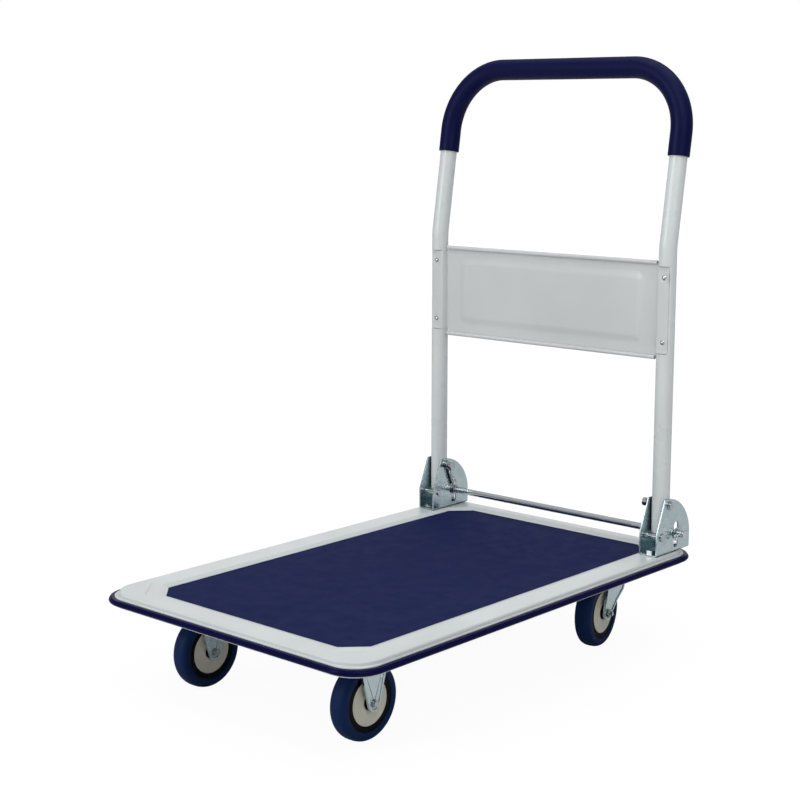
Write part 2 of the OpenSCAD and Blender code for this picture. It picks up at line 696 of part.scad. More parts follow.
// axle parts about a wheel's middle
axle = [0, 0, axle_z];
// front axle: hollow-ended round head on the left, nut on the right
module front_axle() color([0.74, 0.76, 0.76]) {
  ybar(axle, axle_r, -leg_out - 3, leg_out + 4);
  ybar(axle, 4.9, leg_out + clearance, leg_out + 2.4);
  difference() {
    ybar(axle, 3.6, leg_out + 2, leg_out + 4);
    ybar(axle, 2, leg_out + 3, leg_out + 5);
  }
}
// rear axle: hexagon head on the right, nut on the left
module rear_axle() color([0.74, 0.76, 0.76]) {
  ybar(axle, axle_r, -leg_out - 3, leg_out + 8);
  translate([0, -leg_out - clearance, axle_z]) rotate([90, 0, 0]) hex_prism(axle_flats, 4);
}
module axle_nut() color([0.70, 0.72, 0.72]) difference() {
  rotate([-90, 0, 0]) hex_prism(axle_flats, 5);
  translate([0, -1, 0]) rotate([-90, 0, 0]) cylinder(r = axle_r + clearance, h = 8);
}
module rear_axle_nut() translate([0, leg_out + clearance, axle_z]) axle_nut();
module axle_sleeve() color([0.62, 0.64, 0.65]) difference() {
  ybar(axle, sleeve_r, -leg_in + clearance, leg_in - clearance);
  ybar(axle, axle_r + clearance, -20, 20);
}
module front_axles() for (side = [left, right]) at_front(side) front_axle();
module front_axle_nuts() for (side = [left, right]) at_front(side)
  translate([0, -leg_out - clearance, axle_z]) rotate([0, 0, 180]) axle_nut();
module front_axle_sleeves() for (side = [left, right]) at_front(side) axle_sleeve();
module rear_left_axle() at_rear_wheel(left) rear_axle();
module rear_right_axle() at_rear_wheel(right) rear_axle();
module rear_left_axle_nut() at_rear_wheel(left) rear_axle_nut();
module rear_right_axle_nut() at_rear_wheel(right) rear_axle_nut();
module rear_left_axle_sleeve() at_rear_wheel(left) axle_sleeve();
module rear_right_axle_sleeve() at_rear_wheel(right) axle_sleeve();

module caster_bolts() color([0.72, 0.74, 0.74]) at_caster_bolts() {
  translate([0, 0, plate_top + channel_t + seat_gap]) hex_prism(bolt_flats, bolt_head_h);
  translate([0, 0, 108.5]) cylinder(r = bolt_r, h = 14);
}
module caster_nuts() color([0.70, 0.72, 0.72]) at_caster_bolts()
  translate([0, 0, plate_bottom - clearance - caster_nut_h]) nut(caster_nut_h);

// ---------- wheels, about a wheel's middle ----------
tyre_in = 37.5;                             // bore of the tyre
tyre_edge_r = 3;
core_r = tyre_in - 0.03;
disc_r = 30;                                // outside of the caps
hub_bore_r = 8;                             // outside of the bush
hub_half_w = 13.5;

// sections have X as radius from the axle and Y along it
module wheel_turn()
  translate([0, 0, axle_z]) rotate([90, 0, 0]) rotate_extrude($fn = 128) children();
module band(inner_r, outer_r, half_w)
  translate([inner_r, -half_w]) square([outer_r - inner_r, 2 * half_w]);
module tyre() color([0.05, 0.13, 0.25]) wheel_turn() {
  half_w = wheel_w / 2;
  band(tyre_in, wheel_r, half_w - tyre_edge_r);
  band(tyre_in, wheel_r - tyre_edge_r, half_w);
  for (s = [-1, 1]) translate([wheel_r - tyre_edge_r, s * (half_w - tyre_edge_r)])
    circle(tyre_edge_r, $fn = 32);
}
module core() color([0.06, 0.06, 0.07]) wheel_turn() {
  band(29, core_r, 9);
  band(30.1, core_r, 10.8);
  band(9.5, disc_r, 4);
  band(hub_bore_r + 0.02, hub_bore_r + 1.92, hub_half_w);
}
module caps() color([0.60, 0.59, 0.55]) wheel_turn()
  for (y = [-11.1, 9.02]) translate([10.1, y]) square([disc_r - 10.1, 2.08]);
module bush() color([0.5, 0.45, 0.3]) wheel_turn()
  band(sleeve_r + clearance, hub_bore_r, hub_half_w);

module front_left_tyre() at_front(left) tyre();
module front_left_core() at_front(left) core();
module front_left_caps() at_front(left) caps();
module front_left_bush() at_front(left) bush();
module front_right_tyre() at_front(right) tyre();
module front_right_core() at_front(right) core();
module front_right_caps() at_front(right) caps();
module front_right_bush() at_front(right) bush();
module rear_left_tyre() at_rear_wheel(left) tyre();
module rear_left_core() at_rear_wheel(left) core();
module rear_left_caps() at_rear_wheel(left) caps();
module rear_left_bush() at_rear_wheel(left) bush();
module rear_right_tyre() at_rear_wheel(right) tyre();
module rear_right_core() at_rear_wheel(right) core();
module rear_right_caps() at_rear_wheel(right) caps();
module rear_right_bush() at_rear_wheel(right) bush();

deck_pan();
deck_mat();
edge_bumper();
front_channel();
rear_channel();
left_bracket();
right_bracket();
bracket_bolts();
bracket_nuts();
pivot_pins();
stop_pins();
front_left_fork();
front_right_fork();
caster_bolts();
caster_nuts();
front_axles();
front_axle_nuts();
front_axle_sleeves();
rear_left_swivel_plate();
rear_right_swivel_plate();
kingpins();
handle_tube();
grip_sleeve();
back_panel();
panel_rivets();
pivot_bushes();
lock_rod();
cotter_pins();
rod_washers();
left_return_spring();
right_return_spring();
rear_left_fork();
rear_left_axle();
rear_left_axle_nut();
rear_left_axle_sleeve();
rear_left_race_balls();
rear_right_fork();
rear_right_axle();
rear_right_axle_nut();
rear_right_axle_sleeve();
rear_right_race_balls();
front_left_tyre();
front_left_core();
front_left_caps();
front_left_bush();
front_right_tyre();
front_right_core();
front_right_caps();
front_right_bush();
rear_left_tyre();
rear_left_core();
rear_left_caps();
rear_left_bush();
rear_right_tyre();
rear_right_core();
rear_right_caps();
rear_right_bush();
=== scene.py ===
"""A platform trolley: flat deck with a mat and an edge bumper, push handle, four wheels.

+X is the front, +Y the left and +Z up. The deck is centred on the origin, the wheels stand
on z = 0 and the handle rises at the rear (-X). Lengths are in millimetres until a mesh is
made; lights, camera and textures are in metres.
"""
import json
import math

import bpy
import numpy as np
from mathutils import Matrix, Vector


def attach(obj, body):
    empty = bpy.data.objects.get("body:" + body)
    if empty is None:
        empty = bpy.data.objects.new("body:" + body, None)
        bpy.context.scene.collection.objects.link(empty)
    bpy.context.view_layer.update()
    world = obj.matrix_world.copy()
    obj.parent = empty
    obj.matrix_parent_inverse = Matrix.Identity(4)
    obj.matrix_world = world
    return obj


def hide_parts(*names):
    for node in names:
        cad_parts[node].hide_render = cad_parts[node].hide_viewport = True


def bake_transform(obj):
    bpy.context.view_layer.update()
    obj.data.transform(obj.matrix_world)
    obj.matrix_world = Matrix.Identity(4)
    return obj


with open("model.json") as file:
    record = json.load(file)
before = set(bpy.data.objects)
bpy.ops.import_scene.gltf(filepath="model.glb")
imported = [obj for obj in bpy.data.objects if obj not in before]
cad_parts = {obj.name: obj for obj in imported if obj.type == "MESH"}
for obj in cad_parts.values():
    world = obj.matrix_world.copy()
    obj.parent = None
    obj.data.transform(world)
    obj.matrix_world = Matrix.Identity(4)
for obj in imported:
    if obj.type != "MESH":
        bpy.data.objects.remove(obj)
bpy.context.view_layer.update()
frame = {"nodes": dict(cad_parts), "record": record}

MM = 0.001
DECK_TOP = 136.0
DECK = (699.0, 452.0, 44.0)                # length, width, corner radius
FLANGE = (703.4, 456.4, 38.0)              # the same, for the skirt round the deck
MAT_L, MAT_W, MAT_CHAMFER = 625.8, 362.6, 27.0
MAT = (MAT_L, MAT_W, MAT_CHAMFER, 1.6)     # length, width, corner chamfer, its fillet
RECESS = (MAT_L + 1, MAT_W + 1, MAT_CHAMFER + 0.4, 2.5)
MAT_X = -6.9                               # middle of the mat and its recess
RECESS_DEPTH = 4.9
BUMPER_Z = DECK_TOP - 10.3

TUBE_X, TUBE_Y, TUBE_R = -297.0, 206.0, 12.5   # uprights of the handle
KINK_Z, LEAN = DECK_TOP + 433.0, math.radians(8.9)   # above the kink the handle leans to -X
UPPER_L, BEND_R = 247.0, 90.0              # length above the kink, radius of the top bends
GRIP_R, GRIP_TAIL = 15.3, 33.0             # the tail runs down below each bend

PANEL_Z0, PANEL_Z1 = DECK_TOP + 275.0, DECK_TOP + 413.5
TAB_Z0, TAB_Z1 = DECK_TOP + 285.0, DECK_TOP + 405.5
RIVET_Z = (DECK_TOP + 300.5, DECK_TOP + 390.5)

PIVOT = (-297.0, DECK_TOP + 69.5)          # x, z of the pin at the springs' upper end
LOCK_BAR = (-315.5, DECK_TOP + 26.4)       # x, z of the bar at their lower end
SPRING_Y = 187.0

WHEEL_R = 50.0
FRONT_AXLE = (250.2, 142.7)                # x, y of the left front wheel
KINGPIN = (-264.9, 137.6)                  # x, y of the left rear kingpin
TRAIL = 30.0                               # kingpin to rear axle
TURN = {"rear_left": math.radians(9.85), "rear_right": 0.0}


# ---------------------------------------------------------------- shader nodes
class Nodes:
    """Adds nodes to the emptied node tree of a material or world."""

    def __init__(self, owner):
        owner.use_nodes = True
        self.tree = owner.node_tree
        self.tree.nodes.clear()

    def feed(self, socket, value):
        """Links the socket to another socket, or sets its value."""
        if isinstance(value, bpy.types.NodeSocket):
            self.tree.links.new(value, socket)
        else:
            socket.default_value = value

    def add(self, kind, inputs=None, **properties):
        """A new node; an input given as None is left alone."""
        node = self.tree.nodes.new("ShaderNode" + kind)
        for key, value in properties.items():
            setattr(node, key, value)
        for key, value in (inputs or {}).items():
            if value is not None:
                self.feed(node.inputs[key], value)
        return node


MATERIALS = {}


class Surface(Nodes):
    """A Principled material with procedural textures in object space (metres)."""

    def __init__(self, name, rough, metallic=0.0, coat=0.0, coat_rough=0.1, spec=0.5):
        MATERIALS[name] = bpy.data.materials.new(name)
        super().__init__(MATERIALS[name])
        self.principled = self.add("BsdfPrincipled", {
            "Roughness": rough, "Metallic": metallic, "Coat Weight": coat,
            "Coat Roughness": coat_rough, "Specular IOR Level": spec})
        self.add("OutputMaterial", {0: self.principled.outputs[0]})
        self.coords = self.add("TexCoord").outputs["Object"]
        self.normal = None

    def place(self, stretch):
        if not stretch:
            return self.coords
        return self.add("Mapping", {"Scale": stretch, "Vector": self.coords}).outputs[0]

    def noise(self, scale, detail=3.0, rough=0.55, stretch=None, distortion=0.0):
        return self.add("TexNoise", {
            "Scale": scale, "Detail": detail, "Roughness": rough, "Distortion": distortion,
            "Vector": self.place(stretch)}).outputs["Fac"]

    def cells(self, scale, smooth=None, stretch=None):
        return self.add("TexVoronoi", {
            "Scale": scale, "Smoothness": smooth, "Vector": self.place(stretch),
        }, feature="F1" if smooth is None else "SMOOTH_F1").outputs["Distance"]

    def ramp(self, value, lo, hi, start=0.0, end=1.0):
        """Eases from start to end as the value goes from lo to hi."""
        return self.add("MapRange", {
            "From Min": lo, "From Max": hi, "To Min": start, "To Max": end, "Value": value,
        }, clamp=True, interpolation_type="SMOOTHSTEP").outputs[0]

    def patches(self, lo, hi, start=0.0, end=1.0, **noise):
        return self.ramp(self.noise(**noise), lo, hi, start, end)

    def math(self, operation, a, b):
        return self.add("Math", {0: a, 1: b}, operation=operation).outputs[0]

    def mix(self, factor, a, b):
        return self.add("Mix", {0: factor, 6: a, 7: b}, data_type="RGBA").outputs[2]

    def tint(self, tone, mask, amount, colour):
        """Lays a colour over the tone where the mask is, at the given strength."""
        return self.mix(self.math("MULTIPLY", mask, amount), tone, colour)

    def edges(self, radius, lo, hi):
        """1 on the sharp edges of the piece, 0 on its faces."""
        bevel = self.add("Bevel", {"Radius": radius}, samples=4)
        geometry = self.add("NewGeometry")
        facing = self.add("VectorMath", {0: bevel.outputs[0], 1: geometry.outputs["Normal"]},
                          operation="DOT_PRODUCT")
        return self.ramp(self.math("SUBTRACT", 1.0, facing.outputs["Value"]), lo, hi)

    def painted_shade_mask(self, distance, lo=0.35, hi=0.92):
        """1 deep in gaps and inner corners, 0 in the open: where shade is painted into the
        colour.
        """
        node = self.add("AmbientOcclusion", {"Distance": distance}, samples=6)
        return self.ramp(node.outputs["AO"], lo, hi, start=1.0, end=0.0)

    def bump(self, height, strength, distance):
        """Adds a layer of relief over the earlier ones."""
        self.normal = self.add("Bump", {
            "Strength": strength, "Distance": distance, "Height": height,
            "Normal": self.normal}).outputs[0]

    def finish(self, colour, rough):
        for key, value in (("Base Color", colour), ("Roughness", rough), ("Normal", self.normal)):
            self.feed(self.principled.inputs[key], value)


# ---------------------------------------------------------------- materials
def srgb(*channels):
    """An sRGB colour in 0-255 as linear values."""
    unit = [c / 255.0 for c in channels]
    return (*[c / 12.92 if c <= 0.04045 else ((c + 0.055) / 1.055) ** 2.4 for c in unit], 1.0)


def shade(colour, factor):
    return (*[c * factor for c in colour[:3]], 1.0)


def powder_coat(name, colour, wear=0.25, rough=0.36):
    """Satin powder coat: orange peel, faint mottling, scuffs, a little wear on the edges, and
    painted shade in gaps and inner corners.
    """
    s = Surface(name, rough=rough, coat=0.18, coat_rough=0.16)
    tone = s.mix(s.patches(scale=7, detail=4, lo=0.35, hi=0.7),
                 shade(colour, 0.965), shade(colour, 1.02))
    specks = s.patches(scale=140, detail=3, rough=0.6, lo=0.52, hi=0.9, end=0.10)
    tone = s.mix(specks, tone, shade(colour, 0.80))
    scuffs = s.patches(scale=60, detail=6, rough=0.75, stretch=(1, 5, 2), distortion=0.6,
                       lo=0.70, hi=0.80)
    tone = s.tint(tone, scuffs, amount=0.16, colour=shade(colour, 0.62))
    worn = s.math("MULTIPLY", s.edges(radius=0.0008, lo=0.05, hi=0.4),
                  s.patches(scale=55, detail=5, rough=0.7, lo=0.50, hi=0.62))
    tone = s.tint(tone, worn, amount=wear, colour=srgb(150, 152, 150))
    # painted shade: the paint goes dark in gaps, recesses and beside touching parts
    tone = s.tint(tone, s.painted_shade_mask(distance=0.0022, lo=0.2, hi=0.6), amount=0.6,
                  colour=shade(colour, 0.25))
    drift = s.patches(scale=24, detail=5, rough=0.6, lo=0.3, hi=0.75,
                      start=rough - 0.05, end=rough + 0.09)
    roughness = s.math("ADD", drift, s.math("MULTIPLY", scuffs, 0.12))
    s.bump(s.noise(scale=850, detail=2, rough=0.5), strength=0.10, distance=0.00012)
    s.bump(s.noise(scale=180, detail=2, rough=0.5), strength=0.05, distance=0.0002)
    s.finish(tone, roughness)


def plated(name, colour, clouds, rough, grain, wear=0.3, spangle=0.14, hollow_shade=None, gap_shade=0.8):
    """Plated metal: clouded tone, fine grain, brighter edges, painted shade in the gaps.

    The last two arguments paint shade: the colour laid over wide hollows, and the strength of the
    dark laid in narrow gaps.
    """
    s = Surface(name, rough=rough, metallic=1.0)
    tone = s.mix(s.patches(scale=34, detail=5, rough=0.65, distortion=0.8, lo=0.32, hi=0.72),
                 colour, clouds)
    flakes = s.ramp(s.cells(scale=420), lo=0.1, hi=0.8)
    tone = s.tint(tone, flakes, amount=spangle, colour=shade(colour, 0.72))
    tone = s.tint(tone, s.edges(radius=0.0006, lo=0.03, hi=0.35), amount=wear,
                  colour=(0.86, 0.88, 0.88, 1))
    spots = s.patches(scale=210, detail=4, rough=0.7, lo=0.68, hi=0.80)
    tone = s.tint(tone, spots, amount=0.25, colour=shade(clouds, 0.45))
    # painted shade: a dark colour laid over wide hollows, such as between the bracket cheeks
    if hollow_shade:
        tone = s.tint(tone, s.painted_shade_mask(distance=0.035, lo=0.12, hi=0.62), amount=0.9,
                      colour=hollow_shade)
    # painted shade: darkens narrow gaps and the lines where parts touch
    tone = s.tint(tone, s.painted_shade_mask(distance=0.0045, lo=0.3, hi=0.8), amount=gap_shade,
                  colour=shade(clouds, 0.12))
    drift = s.patches(scale=70, detail=5, rough=0.7, lo=0.25, hi=0.8,
                      start=rough - rough * 0.22, end=rough + rough * 0.4)
    roughness = s.math("ADD", drift, s.math("MULTIPLY", spots, 0.15))
    s.bump(s.noise(scale=240, detail=3, rough=0.6, stretch=grain),
           strength=0.12, distance=0.00005)
    s.bump(s.noise(scale=900, detail=2, rough=0.5), strength=0.05, distance=0.00003)
    s.finish(tone, roughness)


def vinyl(name, colour, rough, grain, strength, scuffs, spec, stretch=None, cell=True):
    """Soft vinyl or rubber: fine grain (leather-like with cell), rubbed edges, light scuffs,
    painted shade in gaps.
    """
    s = Surface(name, rough=rough, coat_rough=0.25, spec=spec)
    tone = s.mix(s.patches(scale=9, detail=4, lo=0.3, hi=0.72),
                 shade(colour, 0.985), shade(colour, 1.015))
    rubbed = s.patches(scale=75, detail=6, rough=0.75, stretch=stretch, distortion=0.5,
                       lo=0.64, hi=0.80)
    tone = s.tint(tone, rubbed, amount=scuffs, colour=shade(colour, 1.9))
    tone = s.tint(tone, s.edges(radius=0.0008, lo=0.03, hi=0.4), amount=0.22,
                  colour=shade(colour, 1.7))
    # painted shade: darkens the colour in gaps and inner corners
    tone = s.tint(tone, s.painted_shade_mask(distance=0.003), amount=0.6, colour=shade(colour, 0.25))
    drift = s.patches(scale=40, detail=5, rough=0.6, lo=0.3, hi=0.75,
                      start=rough - 0.05, end=rough + 0.07)
    roughness = s.math("ADD", drift, s.math("MULTIPLY", rubbed, 0.10))
    if cell:
        relief = s.cells(scale=grain, smooth=0.5, stretch=stretch)
    else:
        relief = s.noise(scale=grain, detail=2, rough=0.5, stretch=stretch)
    s.bump(relief, strength=strength, distance=0.00018)
    s.bump(s.noise(scale=grain * 0.22, detail=3, rough=0.5, stretch=stretch),
           strength=strength * 0.4, distance=0.0003)
    s.finish(tone, roughness)


def moulded(name, colour, rough, dust, spec=0.3):
    """Hard moulded plastic with a fine texture and specks of dust."""
    s = Surface(name, rough=rough, spec=spec)
    tone = s.mix(s.patches(scale=28, detail=4, lo=0.3, hi=0.7),
                 shade(colour, 0.93), shade(colour, 1.05))
    specks = s.patches(scale=330, detail=3, rough=0.7, lo=0.56, hi=0.8, end=dust)
    tone = s.mix(specks, tone, shade(colour, 0.66))
    tone = s.tint(tone, s.edges(radius=0.0007, lo=0.03, hi=0.4), amount=0.25,
                  colour=shade(colour, 1.25))
    s.bump(s.noise(scale=1300, detail=2, rough=0.5), strength=0.12, distance=0.00008)
    s.bump(s.noise(scale=90, detail=2, rough=0.5), strength=0.05, distance=0.0002)
    s.finish(tone, s.patches(scale=60, detail=5, rough=0.65, lo=0.3, hi=0.75,
                             start=rough - 0.06, end=rough + 0.1))


powder_coat("deck_paint", colour=(0.69, 0.73, 0.73, 1), rough=0.33)
powder_coat("handle_paint", colour=(0.75, 0.79, 0.79, 1), rough=0.30)
powder_coat("panel_paint", colour=(0.70, 0.72, 0.72, 1))
powder_coat("channel", colour=(0.52, 0.54, 0.54, 1), wear=0.5, rough=0.42)
vinyl("mat", colour=srgb(27, 35, 80), rough=0.72, grain=620, strength=0.16, scuffs=0.05,
      spec=0.05)
vinyl("bumper", colour=srgb(8, 10, 60), rough=0.22, grain=260, strength=0.03,
      stretch=(0.4, 0.4, 6), scuffs=0.03, cell=False, spec=0.06)
vinyl("grip", colour=srgb(5, 11, 62), rough=0.44, grain=1100, strength=0.05, scuffs=0.04,
      spec=0.12)
vinyl("tyre", colour=srgb(11, 37, 80), rough=0.52, grain=420, strength=0.05, scuffs=0.10,
      cell=False, spec=0.12)
moulded("core", colour=srgb(3, 3, 4), rough=0.50, spec=0.12, dust=0.03)
moulded("cap", colour=srgb(222, 218, 204), rough=0.45, dust=0.12)
# zinc's teal inside colour is painted shade for the hollows between the bracket cheeks; every
# plated finish gets painted shade in narrow gaps
plated("zinc", colour=(0.68, 0.79, 0.83, 1), clouds=(0.58, 0.71, 0.75, 1), rough=0.25,
       grain=(1, 1, 30), spangle=0.03, wear=0.14, gap_shade=0.65, hollow_shade=(0.16, 0.31, 0.35, 1))
plated("fastener", colour=(0.62, 0.65, 0.66, 1), clouds=(0.50, 0.53, 0.55, 1), rough=0.13,
       grain=(4, 4, 4), wear=0.12, spangle=0.03)
plated("rod", colour=(0.80, 0.83, 0.84, 1), clouds=(0.72, 0.76, 0.77, 1), rough=0.10,
       grain=(8, 0.3, 8), wear=0.0, spangle=0.02)
plated("spring", colour=(0.82, 0.84, 0.84, 1), clouds=(0.72, 0.75, 0.76, 1), rough=0.26,
       grain=(4, 4, 4), spangle=0.02, gap_shade=0.15)
plated("bush", colour=(0.66, 0.52, 0.28, 1), clouds=(0.52, 0.40, 0.22, 1), rough=0.42,
       grain=(2, 2, 2))
plated("steel", colour=(0.64, 0.66, 0.67, 1), clouds=(0.54, 0.56, 0.57, 1), rough=0.24,
       grain=(3, 3, 3))


# ---------------------------------------------------------------- mesh helpers
class Shape:
    """Gathers points and faces for one mesh."""

    def __init__(self, verts=(), faces=()):
        self.verts, self.faces = list(verts), list(faces)

    def loft(self, rings, closed=True, wrap=False, caps=False, flip=False):
        """Skins a row of rings; closed joins each ring's ends, wrap joins last ring to first."""
        base, count = len(self.verts), len(rings[0])
        faces = []
        for a in range(len(rings) if wrap else len(rings) - 1):
            b = (a + 1) % len(rings)
            for i in range(count if closed else count - 1):
                j = (i + 1) % count
                faces.append((a * count + i, a * count + j, b * count + j, b * count + i))
        if caps:
            faces.append(tuple(range(count))[::-1])
            faces.append(tuple(range((len(rings) - 1) * count, len(rings) * count)))
        self.verts += [point for ring in rings for point in ring]
        for face in faces:
            self.faces.append(tuple(base + i for i in (face[::-1] if flip else face)))


def new_object(name, shape, slot, sharp, body=None, replaces=None):
    """An object from a shape; edges bent by more than sharp degrees stay crisp."""
    mesh = bpy.data.meshes.new(name)
    mesh.from_pydata([tuple(c * MM for c in point) for point in shape.verts], [], shape.faces)
    mesh.validate()
    mesh.update()
    mesh.materials.append(MATERIALS[slot])
    mesh.shade_smooth()
    mesh.set_sharp_from_angle(angle=math.radians(sharp))
    obj = bpy.data.objects.new(name, mesh)
    bpy.context.scene.collection.objects.link(obj)
    if body:
        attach(obj, body)
    if replaces:
        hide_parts(replaces)
    return obj


def smooth01(t):
    t = min(max(t, 0.0), 1.0)
    return t * t * (3 - 2 * t)


def arc(cx, cy, radius, degrees):
    """Points on a circle in a plane, at the given angles."""
    return [(cx + radius * math.cos(a), cy + radius * math.sin(a)) for a in np.radians(degrees)]


def between(a, b, count):
    """Evenly spaced points strictly between two points."""
    a, b = np.array(a), np.array(b)
    return [tuple(a + (b - a) * t) for t in np.linspace(0, 1, count + 2)[1:-1]]


# Both corners run from the +X side round to the +Y side, with the same number of points.
ARC_POINTS, MIDDLE_POINTS, SIDE_POINTS = 7, 5, 9


def round_corner(length, width, radius):
    angles = [*np.linspace(0, 30, ARC_POINTS), *np.linspace(30, 60, MIDDLE_POINTS + 2)[1:-1],
              *np.linspace(60, 90, ARC_POINTS)]
    return arc(length / 2 - radius, width / 2 - radius, radius, angles)


def chamfer_corner(length, width, leg, fillet):
    inset = leg + fillet * math.tan(math.radians(22.5))
    first = arc(length / 2 - fillet, width / 2 - inset, fillet, np.linspace(0, 45, ARC_POINTS))
    second = arc(length / 2 - inset, width / 2 - fillet, fillet, np.linspace(45, 90, ARC_POINTS))
    return first + between(first[-1], second[0], MIDDLE_POINTS) + second


def full_ring(corner, z, shift=0.0):
    """A closed counter-clockwise ring from its +X +Y corner."""
    corners = [corner, [(-x, y) for x, y in reversed(corner)],
               [(-x, -y) for x, y in corner], [(x, -y) for x, y in reversed(corner)]]
    points = []
    for k in range(4):
        points += corners[k] + between(corners[k][-1], corners[(k + 1) % 4][0], SIDE_POINTS)
    return [(x + shift, y, z) for x, y in points]


def round_ring(plan, offset, z):
    """The plan's outline moved outwards by offset."""
    length, width, radius = plan
    return full_ring(round_corner(length + 2 * offset, width + 2 * offset, radius + offset), z)


def chamfer_ring(plan, offset, z):
    length, width, leg, fillet = plan
    leg += 0.5858 * offset                 # keeps the chamfer parallel at that offset
    return full_ring(chamfer_corner(length + 2 * offset, width + 2 * offset, leg,
                                    fillet + max(offset, -1.0)), z, MAT_X)


def lathe(shape, profile, centre, steps, turn):
    """Turns a closed profile of (distance along the axle, radius) about an axle.

    The axle passes through centre and lies along Y, turned about Z by turn.
    """
    axle = np.array((-math.sin(turn), math.cos(turn), 0.0))
    level = np.array((math.cos(turn), math.sin(turn), 0.0))
    rings = []
    for k in range(steps):
        a = 2 * math.pi * k / steps
        spoke = level * math.cos(a) + np.array((0, 0, 1.0)) * math.sin(a)
        rings.append([tuple(np.array(centre) + axle * y + spoke * r) for y, r in profile])
    shape.loft(rings, wrap=True)


def wire(shape, points, radius, sides, up):
    """A round bar along a polyline, its section carried along without twist."""
    last = len(points) - 1
    normal = np.array(up, float)
    rings = []
    for i, point in enumerate(points):
        tangent = points[min(i + 1, last)] - points[max(i - 1, 0)]
        tangent /= np.linalg.norm(tangent)
        normal = normal - tangent * (normal @ tangent)
        normal /= np.linalg.norm(normal)
        binormal = np.cross(tangent, normal)
        rings.append([tuple(point + radius * (normal * math.cos(a) + binormal * math.sin(a)))
                      for a in np.linspace(0, 2 * math.pi, sides, endpoint=False)])
    shape.loft(rings, caps=True, flip=True)


# ---------------------------------------------------------------- deck
def add_corner_bead(shape, side):
    """A bead across a front corner, its foot blended into the deck; the right one is lower."""
    run, rise = 0.7526, 0.6585             # the bead's direction in plan
    half_length, half_width, height = 27, 2.2, 1.4
    middle = np.array((306.0, side * 188.5))
    along = np.array((-run, side * rise))
    across = np.array((rise, side * run))
    rows = []
    for u in np.linspace(-half_length, half_length, 37):
        fade = smooth01((half_length - abs(u)) / 7.0) * (1.0 if side > 0 else 0.5)
        rows.append([
            (*(middle + along * u + across * v),
             DECK_TOP + 0.02 + height * fade * (math.cos(v / half_width * math.pi) + 1) / 2)
            for v in np.linspace(-half_width, half_width, 17)])
    shape.loft(rows, closed=False, flip=side > 0)


def build_deck():
    floor = -RECESS_DEPTH
    # outline, plan, then points of (offset outwards, height above the deck top):
    # from the recess up its wall, over the rim, down the skirt and back underneath
    section = [
        (chamfer_ring, RECESS, [
            (-0.5, floor), (-0.12, floor + 0.12), (0, floor + 0.5), (0, -2.95),
            (0.06, -2.78), (0.24, -2.64), (0.55, -2.52), (1.2, -2.33), (2.6, -1.9),
            (5.2, -1.1), (7.2, -0.49), (7.9, -0.29), (8.5, -0.13), (9.2, -0.03), (10.2, 0.0)]),
        (round_ring, DECK, [(-2.4, 0.0)] + arc(-2.4, -2.4, 2.4, np.linspace(90, 0, 9)[1:])
            + arc(0.9, -4.2, 0.9, np.linspace(180, 270, 6))),
        (round_ring, FLANGE, [
            (-0.45, -5.1), (-0.13, -5.23), (0, -5.55), (0, -16.6), (-0.25, -17.2),
            (-0.8, -17.4), (-9.7, -17.4), (-10, -17.1), (-10, -16.4), (-9.7, -16.1),
            (-2.2, -16.1), (-1.3, -15.2), (-1.3, -6.4)]),
        (round_ring, DECK, [(-1.3, -6.2), (-1.3, -2.4), (-2.4, -1.3)]),
        (chamfer_ring, RECESS, [
            (9.1, -1.3), (1.3, -4.1), (1.3, floor - 1.0), (0.9, floor - 1.3)]),
    ]
    shape = Shape()
    shape.loft([ring(plan, offset, DECK_TOP + z)
                for ring, plan, points in section for offset, z in points], caps=True)
    for side in (1, -1):
        add_corner_bead(shape, side)
    new_object("deck_pan_pressed", shape, "deck_paint", 50, "deck", "deck_pan")


def build_mat():
    """A soft sheet with a rolled-over top edge."""
    bottom, top, roll = DECK_TOP - RECESS_DEPTH + 0.02, DECK_TOP - 2.9, 0.7
    section = [(-0.3, bottom), (0, bottom + 0.3), (0, top - roll)]
    section += arc(-roll, top - roll, roll, np.linspace(0, 90, 6)[1:])
    section += [(-3.0, top)]
    shape = Shape()
    shape.loft([chamfer_ring(MAT, offset, z) for offset, z in section], caps=True)
    new_object("mat_sheet", shape, "mat", 60, "deck", "deck_mat")


def build_bumper():
    """An extruded section with a top lip, a groove and a rounded nose."""
    nose = (4.3, -0.2, 3.46)               # centre and radius
    # offset outwards from the flange, height above BUMPER_Z
    section = [(0.12, -5.1), (1.8, -5.1), (2.1, -4.8), (2.12, -4.0), (2.5, -3.88), (4.2, -3.88)]
    section += arc(*nose, [*range(-82, -14, 8), -15])
    section += arc(7.54, -0.54, 0.44, range(-75, 80, 22))
    section += arc(*nose, (4, 10, 18, 26, 34, 41))
    section += [(6.62, 2.25), (6.28, 2.52), (6.22, 2.80), (6.05, 3.22), (5.62, 3.60),
                (5.0, 3.83), (4.3, 3.88), (0.12, 3.88)]
    shape = Shape()
    shape.loft([round_ring(FLANGE, offset, BUMPER_Z + z) for offset, z in section], wrap=True)
    new_object("edge_bumper_extrusion", shape, "bumper", 50, "deck", "edge_bumper")


build_deck()
build_mat()
build_bumper()


# ---------------------------------------------------------------- grip
def grip_centreline():
    """Points from the right tail over the top to the left tail."""
    bend_z = UPPER_L - BEND_R
    bend_y = BEND_R - TUBE_Y
    # y, distance up from the kink
    right = [(-TUBE_Y, z) for z in np.linspace(bend_z - GRIP_TAIL, bend_z, 8)]
    right += arc(bend_y, bend_z, BEND_R, np.linspace(180, 90, 40)[1:])
    top = [(y, UPPER_L) for y in np.linspace(bend_y, -bend_y, 26)[1:-1]]
    path = right + top + [(-y, z) for y, z in reversed(right)]
    return [np.array((TUBE_X - z * math.sin(LEAN), y, KINK_Z + z * math.cos(LEAN)))
            for y, z in path]


